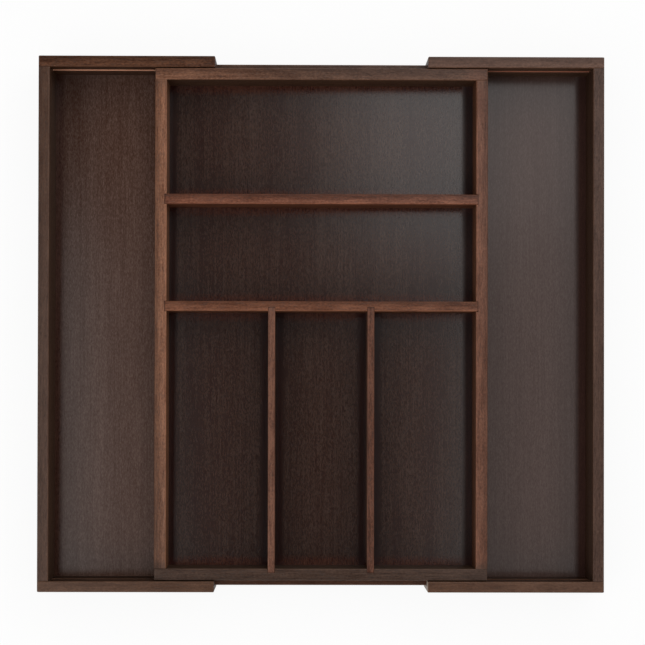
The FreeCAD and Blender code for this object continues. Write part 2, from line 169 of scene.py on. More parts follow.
# %% [markdown]
# ## Grain that follows the board
# A board's grain runs along its length, and no two boards are cut from the same place. Object coordinates
# stay with a board when its tray slides, so the pattern is read from them. They are turned until X lies
# along the grain, and moved by a different amount for each board, as if each came from another plank.

# %% Coordinates along the grain
PLANK_STEP = (1.37, 0.61, 0.23)


def plank_space(tree, along, plank):
    """Coordinates in metres with X along the grain, taken from a plank of the board's own."""
    place = tree.nodes.new("ShaderNodeTexCoord")
    turn = tree.nodes.new("ShaderNodeMapping")
    turn.inputs["Rotation"].default_value = (0, 0, -math.pi / 2 if along == "y" else 0)
    turn.inputs["Location"].default_value = [step * plank for step in PLANK_STEP]
    tree.links.new(place.outputs["Object"], turn.inputs["Vector"])
    return place, turn.outputs[0]


def axes(tree, vector):
    """The three numbers of a place or a direction, one for each axis."""
    split = tree.nodes.new("ShaderNodeSeparateXYZ")
    tree.links.new(vector, split.inputs[0])
    return split.outputs


print("grain coordinates ready")

# %% [markdown]
# ## Where on a board
# Stain doesn't take evenly. Sawn ends drink it and edges lose it, and the paler edges also stand in as a
# painted highlight, while upright faces get a painted shade. So the finish has to know which face it is on,
# and how far it is from an edge or an end. Painting that by hand would need an image for each board. Here the
# direction of the surface tells the faces apart, and the distances are measured from the board's own box, so
# they follow the imported model.

# %% Which face of a board
ACROSS = {"x": "y", "y": "x"}

# A turn: how far a surface faces an axis, from 0 to 1, where it starts to count and where it counts fully.
FACE_TURN = (0.4, 0.8)
SAWN_TURN = (0.75, 0.95)


def sawn_share(tree, place, along):
    """1 on the sawn ends of a board, where the surface faces along the grain, and 0 on its sides."""
    facing = axes(tree, place.outputs["Normal"])[along.upper()]
    return fade(tree, work(tree, "ABSOLUTE", facing), *SAWN_TURN)


def upright_share(tree, place):
    """1 on a board's upright faces and 0 on the faces that look up or down."""
    facing = axes(tree, place.outputs["Normal"])["Z"]
    return fade(tree, work(tree, "ABSOLUTE", facing), *FACE_TURN, 1.0, 0.0)


def inner_share(tree, place, along, low, high):
    """1 on the upright face of a board that looks to the tray's middle."""
    across = ACROSS[along]
    inwards = -1.0 if getattr(low + high, across) > 0 else 1.0
    facing = axes(tree, place.outputs["Normal"])[across.upper()]
    return fade(tree, work(tree, "MULTIPLY", facing, inwards), *FACE_TURN)


print("face helpers ready")

# %% How far from an edge or an end
# Where the painted shade on a board's top starts, as a share of the way across from its inner side.
OUTER_SHADE_START = 0.15
TIP_FULL = 0.3
EDGE_FULL = 0.3 * MM


def gap(tree, value, point):
    """How far a value is from a point on the same axis."""
    return work(tree, "ABSOLUTE", work(tree, "SUBTRACT", value, point))


def outer_share(tree, place, along, low, high):
    """0 at the side of a board that is nearer to the tray's middle, rising to 1 at its outer side."""
    across = ACROSS[along]
    near, far = sorted(abs(getattr(corner, across)) for corner in (low, high))
    distance = work(tree, "ABSOLUTE", axes(tree, place.outputs["Object"])[across.upper()])
    return fade(tree, distance, near + OUTER_SHADE_START * (far - near), far)


def tip_nearness(tree, place, along, low, high, reach):
    """1 at the two ends of a board, falling to 0 at reach."""
    axis = "xy".index(along)
    middle, half = (low[axis] + high[axis]) / 2, (high[axis] - low[axis]) / 2
    offset = gap(tree, axes(tree, place.outputs["Object"])[axis], middle)
    return fade(tree, offset, half - reach, half - TIP_FULL * reach)


def end_nearness(tree, place, along, low, high, sign, full, reach):
    """1 over the full length from a board's low or high end, by the sign, falling to 0 at reach."""
    axis = "xy".index(along)
    end = high[axis] if sign > 0 else low[axis]
    distance = gap(tree, axes(tree, place.outputs["Object"])[axis], end)
    return fade(tree, distance, full, reach, 1.0, 0.0)


def edge_nearness(tree, place, low, high, reach):
    """1 at a board's eased edges, falling to 0 at reach. Near an edge, two faces of the board are near."""
    middle, half = (low + high) / 2, (high - low) / 2
    values = axes(tree, place.outputs["Object"])
    x, y, z = [work(tree, "SUBTRACT", half[i], gap(tree, values[i], middle[i])) for i in range(3)]
    pairs = [work(tree, "MAXIMUM", a, b) for a, b in ((x, y), (y, z), (x, z))]
    nearest = work(tree, "MINIMUM", work(tree, "MINIMUM", pairs[0], pairs[1]), pairs[2])
    return fade(tree, nearest, EDGE_FULL, reach, 1.0, 0.0)


print("distance helpers ready")

# %% [markdown]
# ## Stained wood
# The frames and dividers are a plain hardwood, stained walnut brown and lacquered to a satin. Close up there
# are broad soft bands, fine fibres, short flecks, dark pores where the stain gathers, darker sawn ends, and
# paler edges, partly where sanding thinned the stain and partly a painted highlight. The tops get a painted
# shade towards their outer side, the upright faces a painted shade too, and stain gathered where a divider's
# end enters its housing.
# An image texture would repeat and can't be used here, so each of these is a noise of its own, stretched
# along the grain, or a distance measured on the board. The bump comes from the same pores and fibres, so
# light and colour agree.

# %% Grain of a stained board
# Each noise: its share in the tone, waves to the metre along and across the grain, detail, roughness, bend.
BOARD_GRAIN = {
    "bands": (0.15, 5, 110, 3.0, 0.55, 0.5),
    "fibres": (0.34, 45, 620, 3.0, 0.65),
    "clouds": (0.15, 40, 90, 2.0, 0.5),
    "flecks": (0.36, 420, 800, 2.0, 0.6),
}
BOARD_PORES = (240, 1100, 1.0, 0.5)
BOARD_PORE_RIM = (0.53, 0.68)
BOARD_PORE_SHARE = 0.3
BOARD_PORE_SHADE = 0.35
BOARD_SPAN = 0.14


def shade(colour, *factors):
    """The same colour with more or less light in it, by one factor or by three for red, green and blue."""
    return [x * factor for x, factor in zip(colour[:3], factors * 3)] + [1]


def mixture(tree, space, recipe):
    """Each noise of a recipe by its name, and all of them added up by their shares."""
    noises = {}
    tone = 0.0
    for name, (share, *waves) in recipe.items():
        noises[name] = streaks(tree, space, *waves)
        tone = work(tree, "MULTIPLY_ADD", noises[name], share, tone)
    return noises, tone


def grain_colour(tree, space, tones, figure):
    """The grain as a colour from deep to pale, with dark pores. figure is how strongly it shows."""
    deep, body, pale = tones
    noises, tone = mixture(tree, space, BOARD_GRAIN)
    span = BOARD_SPAN / figure
    colour = ladder(tree, tone, [(0.5 - span, deep), (0.5, body), (0.5 + span, pale)])
    pores = fade(tree, streaks(tree, space, *BOARD_PORES), *BOARD_PORE_RIM)
    sunk = work(tree, "MULTIPLY", pores, BOARD_PORE_SHARE)
    colour = blend(tree, sunk, colour, shade(deep, BOARD_PORE_SHADE))
    return noises, pores, colour


print("board grain:", list(BOARD_GRAIN))

# %% Wear, painted highlight and painted shade on a stained board
# Painted shade: the tint of upright faces, and how dark a top gets towards its outer side.
UPRIGHT_PAINTED_SHADE = (0.94, 0.86, 0.68, 1)
OUTER_SHADE_DEPTH = 0.2
HOUSING_REACH = 1.4 * MM
HOUSING_SHARE = 0.6
HOUSING_SHADE = 0.25
EDGE_REACH = 1.6 * MM

# The paler edge, partly wear and partly a painted highlight: the clouds from which and up to which it grows,
# and its least and greatest share.
EDGE_WEAR_AND_HIGHLIGHT = (0.35, 0.65, 0.15, 0.55)


def wear_and_painted_shade(tree, place, node, along, tones, clouds, colour, outer_shade, meets, inner):
    """Lays over the grain: edges pale from wear and painted highlight, painted shade, gathered stain, the
    next board's tone.
    """
    deep, body, pale = tones
    low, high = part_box(node)
    # Paler edges: partly wear, partly a painted highlight on the eased arrises.
    edge = edge_nearness(tree, place, low, high, EDGE_REACH)
    colour = blend(tree, work(tree, "MULTIPLY", edge, fade(tree, clouds, *EDGE_WEAR_AND_HIGHLIGHT)), colour, pale)

    # Painted shade on the upright faces, which get less light than the tops.
    upright = upright_share(tree, place)
    colour = blend(tree, upright, colour, UPRIGHT_PAINTED_SHADE, "MULTIPLY")
    # Painted shade on the inner face, which looks away from the light.
    if inner:
        colour = blend(tree, inner_share(tree, place, along, low, high), colour, inner, "MULTIPLY")

    level = work(tree, "SUBTRACT", 1.0, upright)
    # Painted shade: the top darkens towards the board's outer side, whose eased edge turns away from the
    # light.
    if outer_shade:
        outer = work(tree, "MULTIPLY", outer_share(tree, place, along, low, high), outer_shade)
        colour = blend(tree, work(tree, "MULTIPLY", outer, level), colour, shade(deep, OUTER_SHADE_DEPTH))
    for end, next_body, share, full, reach in meets:
        near = end_nearness(tree, place, along, low, high, end, full * MM, reach * MM)
        passing = work(tree, "MULTIPLY", work(tree, "MULTIPLY", near, level), share)
        tint = [x / y for x, y in zip(next_body, body)]
        colour = blend(tree, passing, colour, tint, "MULTIPLY")

    if node.endswith("_divider"):
        near = tip_nearness(tree, place, along, low, high, HOUSING_REACH)
        gathered = work(tree, "MULTIPLY", near, HOUSING_SHARE)
        colour = blend(tree, gathered, colour, shade(deep, HOUSING_SHADE))
    return upright, colour


print("wear reaches in mm:", [round(reach / MM, 1) for reach in (EDGE_REACH, HOUSING_REACH)])

# %% Grooves and sawn ends
# A groove's soft edges: past the rail's inner face, past the runner's edge, under the runner and over it.
GROOVE_MOUTH = (0.2 * MM, 0.6 * MM)
GROOVE_BOTTOM = (1.0 * MM, 1.5 * MM)
GROOVE_UNDER = (-0.4 * MM, -0.1 * MM)
GROOVE_OVER = (0.7 * MM, 1.0 * MM)

# Rings on sawn ends, and the shades of one colour between which they vary: on a stained end, on a pale tip.
END_RINGS = (400, 900, 2.0, 0.6)
RING_PLACES = (0.35, 0.7)
END_SHADES = (0.65, 1.2)
TIP_SHADES = (0.6, 1.1)


def groove_share(tree, place, node):
    """1 inside the groove that a rail's runner slides in."""
    runner_low, runner_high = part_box("front_runner")
    inner_face = min(abs(corner.y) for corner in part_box(node))
    runner_edge = abs(runner_low.y)
    values = axes(tree, place.outputs["Object"])
    distance = work(tree, "ABSOLUTE", values["Y"])
    entered = fade(tree, distance, *[inner_face + step for step in GROOVE_MOUTH])
    not_past = fade(tree, distance, *[runner_edge + step for step in GROOVE_BOTTOM], 1.0, 0.0)
    above = fade(tree, values["Z"], *[runner_low.z + step for step in GROOVE_UNDER])
    below = fade(tree, values["Z"], *[runner_high.z + step for step in GROOVE_OVER], 1.0, 0.0)
    inside = work(tree, "MULTIPLY", work(tree, "MULTIPLY", entered, not_past), above)
    return work(tree, "MULTIPLY", inside, below)


def ring_colour(tree, rings, colour, shades):
    """Rings in two shades of one colour."""
    return ladder(tree, rings, [(at, shade(colour, factor)) for at, factor in zip(RING_PLACES, shades)])


def sawn_ends(tree, place, space, node, along, deep, tip, colour):
    """Dark rings on both sawn ends, and paler ones on the inner end where a tip colour is given."""
    rings = streaks(tree, space, *END_RINGS)
    end_colour = ring_colour(tree, rings, deep, END_SHADES)
    colour = blend(tree, sawn_share(tree, place, along), colour, end_colour)
    if tip:
        tip_colour = ring_colour(tree, rings, tip, TIP_SHADES)
        colour = blend(tree, inner_share(tree, place, ACROSS[along], *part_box(node)), colour, tip_colour)
    return colour


print("grooves and sawn ends ready")

# %% A stained board's whole finish
DEEP = (0.54, 0.47, 0.43)
PALE = (1.56, 1.62, 1.62)
BOARD_GLOSS = 0.22
UPRIGHT_ROUGHNESS = 0.3

# Roughness: plain, then what fibres and pores add. Heights: of fibres and pores. Bump: strength and depth.
BOARD_ROUGHNESS = (0.17, 0.08, 0.12)
BOARD_HEIGHTS = (0.3, -0.7)
BOARD_BUMP = (0.2, 0.25 * MM)


def satin(tree, fibres, pores, plain, by_fibres, by_pores):
    """The roughness of a satin lacquer: plain, with more of it on the fibres and in the pores."""
    rough = work(tree, "MULTIPLY_ADD", fibres, by_fibres, plain)
    return work(tree, "MULTIPLY_ADD", pores, by_pores, rough)


def relief(tree, fibres, pores, fibre_height, pore_height):
    """The height of the surface, with the fibres raised and the pores sunk."""
    return work(tree, "MULTIPLY_ADD", pores, pore_height, work(tree, "MULTIPLY", fibres, fibre_height))


def raise_grain(tree, shader, height, strength, depth):
    """A bump on the shader from a height."""
    bump = tree.nodes.new("ShaderNodeBump")
    bump.inputs["Strength"].default_value = strength
    bump.inputs["Distance"].default_value = depth
    tree.links.new(height, bump.inputs["Height"])
    tree.links.new(bump.outputs[0], shader.inputs["Normal"])


def stained_wood(node, along, plank, body, outer_shade, figure, meets, groove=None, tip=None, inner=None):
    """The finish of one board. Its outer shade is how far a painted shade darkens its top towards its outer
    side, and meets lists where its tone passes into the next board's. groove is the colour of the wood inside
    a rail's groove and tip the colour of its inner sawn end, where these took less stain. inner is a painted
    shade on the face that looks to the tray's middle."""
    finish, tree, shader = new_finish(node + "_stain")
    place, space = plank_space(tree, along, plank)
    deep = shade(body, *DEEP)
    tones = (deep, body, shade(body, *PALE))
    noises, pores, colour = grain_colour(tree, space, tones, figure)
    clouds, fibres = noises["clouds"], noises["fibres"]
    upright, colour = wear_and_painted_shade(tree, place, node, along, tones, clouds, colour, outer_shade, meets, inner)
    if groove:
        colour = blend(tree, groove_share(tree, place, node), colour, groove)
    colour = sawn_ends(tree, place, space, node, along, deep, tip, colour)
    tree.links.new(colour, shader.inputs["Base Color"])

    shader.inputs["Specular IOR Level"].default_value = BOARD_GLOSS
    rough = satin(tree, fibres, pores, *BOARD_ROUGHNESS)
    rough = work(tree, "MULTIPLY_ADD", upright, UPRIGHT_ROUGHNESS, rough)
    tree.links.new(rough, shader.inputs["Roughness"])
    raise_grain(tree, shader, relief(tree, fibres, pores, *BOARD_HEIGHTS), *BOARD_BUMP)
    return finish


print("stained wood ready")

# %% [markdown]
# ## Which board took the stain how
# Boards of one tray are never one colour: the centre's side walls and the dividers came out warm and light,
# the side trays' frames darker, the front and back walls between them. A table gives each board the direction
# of its grain, its middle tone, how far a painted shade darkens its top towards the outside, and how strongly
# its grain shows. Smaller tables hold what only some boards have. The back rails' grooves and one rail's end
# show bare wood, where a cutter or a saw came after the stain. At the centre's corners the tone of one board
# passes into the next one's. The front rails' inner faces get a painted shade, as they look away from the
# light.

# %% Tables of the boards
# Each board: direction of the grain, middle tone, painted shade towards the outside, strength of the grain.
BOARDS = {
    "left_back_rail": ("x", (84, 53, 37), 0.5, 1.8),
    "left_front_rail": ("x", (84, 59, 45), 0.0, 0.8),
    "left_end_wall": ("y", (78, 56, 45), 0.2, 0.8),
    "right_back_rail": ("x", (93, 66, 53), 0.35, 0.8),
    "right_front_rail": ("x", (87, 60, 45), 0.0, 0.8),
    "right_end_wall": ("y", (75, 53, 43), 0.05, 1.0),
    "centre_back_wall": ("x", (86, 60, 47), 0.4, 1.25),
    "centre_front_wall": ("x", (71, 53, 44), 0.2, 1.2),
    "centre_left_wall": ("y", (129, 88, 67), 0.45, 1.3),
    "centre_right_wall": ("y", (107, 70, 54), 0.3, 1.2),
    "rear_cross_divider": ("x", (119, 74, 56), 0.62, 1.6),
    "middle_cross_divider": ("x", (110, 69, 50), 0.42, 1.6),
    "left_long_divider": ("y", (102, 68, 54), 0.0, 1.9),
    "right_long_divider": ("y", (92, 59, 46), 0.0, 2.0),
    "front_runner": ("x", (83, 52, 38), 0.0, 1.0),
    "back_runner": ("x", (82, 58, 47), 0.0, 1.0),
    "left_stop_batten": ("y", (82, 58, 47), 0.0, 1.0),
    "right_stop_batten": ("y", (79, 56, 45), 0.0, 1.0),
}
GROOVES = {"left_back_rail": stain(224, 168, 138), "right_back_rail": stain(166, 106, 84)}
TIPS = {"right_front_rail": stain(168, 150, 134)}
# Painted shade on the front rails' inner faces, which look away from the light.
INNER_FACE_PAINTED_SHADE = {"left_front_rail": (0.45, 0.41, 0.38, 1), "right_front_rail": (0.5, 0.44, 0.4, 1)}

# Each meeting: -1 for the low end or 1 for the high one, the next board, its share, and the distances from
# the end, in mm, up to which the share is full and at which it is gone.
CORNERS = {
    "centre_back_wall": [(-1, "centre_left_wall", 0.72, 9, 150), (1, "centre_right_wall", 0.5, 9, 26)],
    "centre_left_wall": [
        (-1, "centre_front_wall", 0.7, 0, 10),
        (-1, "centre_front_wall", 0.45, 0, 220),
        (1, "centre_back_wall", 0.5, 0, 14),
    ],
    "centre_right_wall": [(-1, "centre_front_wall", 0.7, 0, 10), (1, "centre_back_wall", 0.5, 0, 14)],
}
print("boards in the table:", len(BOARDS))

# %% Stain every board
for plank, (node, (along, body, outer_shade, figure)) in enumerate(BOARDS.items(), start=1):
    meets = [(end, stain(*BOARDS[other][1]), *rest) for end, other, *rest in CORNERS.get(node, [])]
    extras = [table.get(node) for table in (GROOVES, TIPS, INNER_FACE_PAINTED_SHADE)]
    finish = stained_wood(node, along, plank, stain(*body), outer_shade, figure, meets, *extras)
    nodes[node].material_slots[0].material = finish
print("stained boards:", len(BOARDS))

# %% [markdown]
# ## Floor panels
# The floors are thin panels with a dark veneer whose grain runs from front to back: very fine short pores,
# faint stripes, and a smoother lacquer than the frames, so they catch a broad grey sheen. Their weave is
# grain with a painted sheen in it: nearly neutral, lighter and darker rather than redder, so light is added
# and not multiplied. Along the boards that stand on a panel a painted shade lies on the floor, darker along
# some and warmer along others, the lacquer is duller beside two of the walls, and the left panel has painted
# light, growing paler towards the centre tray. All of that is in the finish, so it stays the same in any
# light.

# %% Beside the boards on a floor
# How much red, green and blue the painted sheen in a floor's weave adds or takes.
PAINTED_SHEEN_GREY = (1.0, 0.75, 0.65)
DARKEST = 0.0005
BESIDE_FULL = 0.35


def beside(tree, place, boards, reach):
    """1 along the boards that stand on a floor, falling to 0 at reach."""
    values = axes(tree, place.outputs["Object"])
    nearest = None
    for board in boards:
        low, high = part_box(board)
        sides = []
        for axis in (0, 1):
            offset = gap(tree, values[axis], (low[axis] + high[axis]) / 2)
            sides.append(work(tree, "SUBTRACT", offset, (high[axis] - low[axis]) / 2))
        distance = work(tree, "MAXIMUM", *sides)
        nearest = work(tree, "MINIMUM", nearest, distance) if nearest else distance
    return fade(tree, nearest, BESIDE_FULL * reach, reach, 1.0, 0.0)


def lighten(colour, amount):
    """The same colour with some almost neutral light added to it, or taken from it."""
    return [max(x + amount * share, DARKEST) for x, share in zip(colour[:3], PAINTED_SHEEN_GREY)] + [1]


print("floor helpers ready")

# %% Veneer on a floor panel
FLOOR_GRAIN = {
    "stripes": (0.2, 2, 45, 3.0, 0.5, 0.3),
    "lines": (0.2, 14, 800, 2.0, 0.5),
    "fibres": (0.6, 400, 1200, 3.0, 0.6),
}
FLOOR_PORES = (500, 1600, 2.0, 0.5)
FLOOR_PORE_RIM = (0.5, 0.68)
FLOOR_PORE_SHARE = 0.4
FLOOR_SPAN = 0.14
DEEP_WEAVE = -0.63
PORE_WEAVE = -0.8
# Painted shade on a floor along the boards: warmer along those that run across its grain, and how far it
# reaches.
CROSS_PAINTED_SHADE = (1.5, 0.95, 0.72, 1)
PAINTED_SHADE_REACH = 10.5 * MM
# Painted light on a panel: paler towards the centre tray, fading out between these distances from the middle.
CENTRE_PAINTED_LIGHT = (1.25, 1.2, 1.15, 1)
CENTRE_PAINTED_LIGHT_FADE = (150 * MM, 225 * MM)


def veneer_colour(tree, place, space, body, weave, side_painted_shade, boards, painted_light_at_centre):
    """The weave of a panel, with painted light towards the centre or without, and a painted shade along the
    boards: the panel's own along those that run with the grain, the warm cross shade along the others."""
    noises, tone = mixture(tree, space, FLOOR_GRAIN)
    # The weave's pale and deep steps are partly grain and partly a painted sheen, grey light added or taken.
    deep, pale = lighten(body, DEEP_WEAVE * weave), lighten(body, weave)
    colour = ladder(tree, tone, [(0.5 - FLOOR_SPAN, deep), (0.5, body), (0.5 + FLOOR_SPAN, pale)])
    pores = fade(tree, streaks(tree, space, *FLOOR_PORES), *FLOOR_PORE_RIM)
    sunk = work(tree, "MULTIPLY", pores, FLOOR_PORE_SHARE)
    colour = blend(tree, sunk, colour, lighten(body, PORE_WEAVE * weave))
    # Painted light: the panel grows paler towards the centre tray.
    if painted_light_at_centre:
        offset = work(tree, "ABSOLUTE", axes(tree, place.outputs["Object"])["X"])
        colour = blend(tree, fade(tree, offset, *CENTRE_PAINTED_LIGHT_FADE, 1.0, 0.0), colour, CENTRE_PAINTED_LIGHT, "MULTIPLY")
    # Painted shade along the boards that stand on the panel.
    for tint, run in ((side_painted_shade, "y"), (CROSS_PAINTED_SHADE, "x")):
        stood_on = [board for board in boards if BOARDS[board][0] == run]
        if stood_on:
            colour = blend(tree, beside(tree, place, stood_on, PAINTED_SHADE_REACH), colour, tint, "MULTIPLY")
    return noises["fibres"], pores, colour


print("veneer grain:", list(FLOOR_GRAIN))

# %% A floor panel's whole finish
FLOOR_ROUGHNESS = (0.15, 0.03, 0.05)
FLOOR_HEIGHTS = (0.4, -0.6)
FLOOR_BUMP = (0.1, 0.1 * MM)
DULL_REACH = 13.5 * MM
DULL_POWER = 2.5
DULL_ROUGHNESS = 0.82


def veneer(node, plank, body, weave, gloss, side_painted_shade, boards, dull_by, painted_light_at_centre):
    """The finish of one floor panel. weave is how much its fibres and the painted sheen in them vary, boards
    are those that stand on it, with a painted shade along them, and its lacquer is duller along the ones in
    dull_by."""
    finish, tree, shader = new_finish(node + "_veneer")
    place, space = plank_space(tree, "y", plank)
    fibres, pores, colour = veneer_colour(tree, place, space, body, weave, side_painted_shade, boards, painted_light_at_centre)
    tree.links.new(colour, shader.inputs["Base Color"])
    shader.inputs["Specular IOR Level"].default_value = gloss
    rough = satin(tree, fibres, pores, *FLOOR_ROUGHNESS)
    if dull_by:
        dull = work(tree, "POWER", beside(tree, place, dull_by, DULL_REACH), DULL_POWER)
        rough = work(tree, "MULTIPLY_ADD", dull, DULL_ROUGHNESS, rough)
    tree.links.new(rough, shader.inputs["Roughness"])
    raise_grain(tree, shader, relief(tree, fibres, pores, *FLOOR_HEIGHTS), *FLOOR_BUMP)
    return finish


print("floor finish ready")

# %% Lay the veneer
# Each panel: tone, strength of the weave and its painted sheen, gloss, painted shade along boards that run
# with the grain, boards on it.
CENTRE_BOARDS = [node for node in BOARDS if node.endswith("_divider") or node.startswith("centre_")]
FLOORS = {
    "left_floor": ((75, 52, 42), 0.043, 0.5, (0.6, 0.45, 0.4, 1), ["left_end_wall"]),
    "right_floor": ((67, 45, 37), 0.026, 0.5, (0.65, 0.4, 0.3, 1), ["right_end_wall"]),
    "centre_floor": ((52, 31, 21), 0.027, 0.69, (0.45, 0.2, 0.15, 1), CENTRE_BOARDS),
}
DULL_BESIDE = {"right_floor": ["right_end_wall"], "centre_floor": ["centre_right_wall"]}
# The panel with painted light towards the centre tray.
FLOORS_WITH_CENTRE_LIGHT = ["left_floor"]
FIRST_FLOOR_PLANK = 31

for plank, (node, (body, *rest)) in enumerate(FLOORS.items(), start=FIRST_FLOOR_PLANK):
    dull_by = DULL_BESIDE.get(node, [])
    finish = veneer(node, plank, stain(*body), *rest, dull_by, node in FLOORS_WITH_CENTRE_LIGHT)
    nodes[node].material_slots[0].material = finish
print("floor panels:", len(FLOORS))

# %% [markdown]
# ## Steel
# Thin steel pins hold the corners and countersunk screws hold the stop battens from below. Both are plain
# drawn steel, dulled a little. Scratches in the colour and the roughness are enough at this size.

# %% Dull steel for pins and screws
SCRATCHES = (900, 2600, 2.0, 0.6)
STEEL_TONES = [(0.3, stain(138, 134, 128)), (0.7, stain(186, 183, 178))]

# Roughness that follows a noise: the values between which it rises, and its least and greatest.
STEEL_ROUGHNESS = (0.2, 0.8, 0.28, 0.5)


def dull_steel(name):
    """Zinc-grey steel with fine scratches."""
    finish, tree, shader = new_finish(name)
    place = tree.nodes.new("ShaderNodeTexCoord")
    scratches = streaks(tree, place.outputs["Object"], *SCRATCHES)
    tree.links.new(ladder(tree, scratches, STEEL_TONES), shader.inputs["Base Color"])
    shader.inputs["Metallic"].default_value = 1.0
    tree.links.new(fade(tree, scratches, *STEEL_ROUGHNESS), shader.inputs["Roughness"])
    return finish


steel = dull_steel("fastener_steel")
fasteners = [node for node in nodes if node.endswith(("_pins", "_screws"))]
for node in fasteners:
    nodes[node].material_slots[0].material = steel
print("steel groups:", fasteners)

# %% [markdown]
# ## Filler over the pin heads
# The corners are pinned through the outside of the rails and walls, and each pin's head sits a little below
# the surface. The maker presses wood filler into the hole and scrapes it off, and it dries to a shallow
# dish. A dot of colour on the rail would do from far away, but it wouldn't catch the light, so one plug is
# modelled from a cylinder whose outer face is inset three times, the last two times a little deeper, and
# then copied to every hole.

# %% One dished plug
PLUG_WIDTH = 2.44 * MM
PLUG_DEPTH = 0.5 * MM
FACING = 0.9

# Each inset of the plug's outer face: its width and its depth, in mm.
DISH_STEPS = ((0.2, 0), (0.3, -0.05), (0.35, -0.04))


def pick_faces(piece, wanted):
    """Leaves only the faces that pass a test selected, with the piece in edit mode."""
    bpy.ops.object.mode_set(mode="EDIT")
    bpy.ops.mesh.select_mode(type="FACE")
    bpy.ops.mesh.select_all(action="DESELECT")
    bpy.ops.object.mode_set(mode="OBJECT")
    for face in piece.data.polygons:
        face.select = wanted(face)
    bpy.ops.object.mode_set(mode="EDIT")


bpy.ops.object.select_all(action="DESELECT")
lying = (math.pi / 2, 0, 0)
bpy.ops.mesh.primitive_cylinder_add(vertices=24, radius=PLUG_WIDTH / 2, depth=PLUG_DEPTH, rotation=lying)
plug = bpy.context.object
bpy.ops.object.transform_apply(location=True, rotation=True, scale=True)
pick_faces(plug, lambda face: face.normal.y < -FACING)
for width, drop in DISH_STEPS:
    bpy.ops.mesh.inset(thickness=width * MM, depth=drop * MM)
bpy.ops.object.mode_set(mode="OBJECT")
bpy.ops.object.shade_smooth_by_angle(angle=math.radians(50))
print("plug faces:", len(plug.data.polygons))

# %% Wood filler
GRIT = (2400, 2400, 3.0, 0.65)
FILLER_GLOSS = 0.15
FILLER_ROUGHNESS = (0.3, 0.7, 0.55, 0.75)
FILLER_BUMP = (0.3, 0.1 * MM)


def wood_filler(name, body):
    """Dried filler: a dull brown paste with fine grit in it."""
    finish, tree, shader = new_finish(name)
    place = tree.nodes.new("ShaderNodeTexCoord")
    grit = streaks(tree, place.outputs["Object"], *GRIT)
    colour = ladder(tree, grit, [(0.3, shade(body, 0.6)), (0.55, body), (0.75, shade(body, 1.5))])
    tree.links.new(colour, shader.inputs["Base Color"])
    shader.inputs["Specular IOR Level"].default_value = FILLER_GLOSS
    tree.links.new(fade(tree, grit, *FILLER_ROUGHNESS), shader.inputs["Roughness"])
    raise_grain(tree, shader, grit, *FILLER_BUMP)
    return finish


filler = wood_filler("wood_filler", stain(64, 43, 33))
print("filler:", filler.name)

# %% [markdown]
# ## A plug in every hole
# Each group of pins has a box, and the pins stand at its corners, so their places need no new numbers. The
# copies of one tray are joined into one piece that rides on that tray. Copies on the back are turned half
# round to face outwards.

# %% Copy a model and join the copies
def copy_to(model, place, turn=0.0):
    """A copy of a model with a mesh of its own, moved to a place and turned about the vertical."""
    bpy.ops.object.select_all(action="DESELECT")
    model.select_set(True)
    bpy.context.view_layer.objects.active = model
    bpy.ops.object.duplicate()
    copy = bpy.context.object
    copy.location = place
    copy.rotation_euler.z = turn
    return copy


def join_at_origin(copies, name):
    """Joins copies into one piece that sits at the origin, with its place in its mesh."""
    bpy.ops.object.select_all(action="DESELECT")
    for copy in copies:
        copy.select_set(True)
    bpy.context.view_layer.objects.active = copies[0]
    bpy.ops.object.join()
    piece = bpy.context.object
    bpy.ops.object.transform_apply(location=True, rotation=True, scale=True)
    piece.name = piece.data.name = name
    return piece


print("copying helpers ready")

# %% Press the plugs in
PIN_HEAD = 2.4 * MM
SUNK = 0.05 * MM

# Each group of pins: the tray it rides on, a board with its holes, and the slot of its finish.
GROUPS = {
    "left_corner_pins": ("left_tray", "left_back_rail", "side_wood"),
    "right_corner_pins": ("right_tray", "right_back_rail", "side_wood"),
    "centre_corner_pins": ("centre_tray", "centre_back_wall", "centre_wood"),
}
for pins, (body, board, slot) in GROUPS.items():
    low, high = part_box(pins)
    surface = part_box(board)[1].y - SUNK - PLUG_DEPTH / 2
    columns = {round(x, 6) for x in (low.x + PIN_HEAD / 2, high.x - PIN_HEAD / 2)}
    rows = (low.z + PIN_HEAD / 2, high.z - PIN_HEAD / 2)
    places = [(x, side * surface, z) for x in sorted(columns) for side in (-1, 1) for z in rows]
    copies = [copy_to(plug, place, math.pi if place[1] > 0 else 0) for place in places]
    piece = join_at_origin(copies, pins.replace("corner_pins", "filler_plugs"))
    piece.data.materials.append(filler)
    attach(piece, body)
    print(piece.name, "plugs:", len(copies))
bpy.data.objects.remove(plug)

# %% [markdown]
# ## Screws under the floor
# Two countersunk screws hold each stop batten from below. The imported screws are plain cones. Turned over,
# the real ones show a cross recess in the head, so a screw is modelled again inside the same space: a thin
# disc is extruded into the cone, the shank and the point, and two tapered bars are cut out of the head. A
# bump map could fake the cross, but not its depth.

# %% Turn one screw
HEAD_WIDTH = 5.4 * MM
SHANK_WIDTH = 2.9 * MM
RIM = 0.1 * MM
CONE = 1.4 * MM
SHANK = 5.0 * MM
POINT = 1.5 * MM
POINT_NARROWING = 0.15

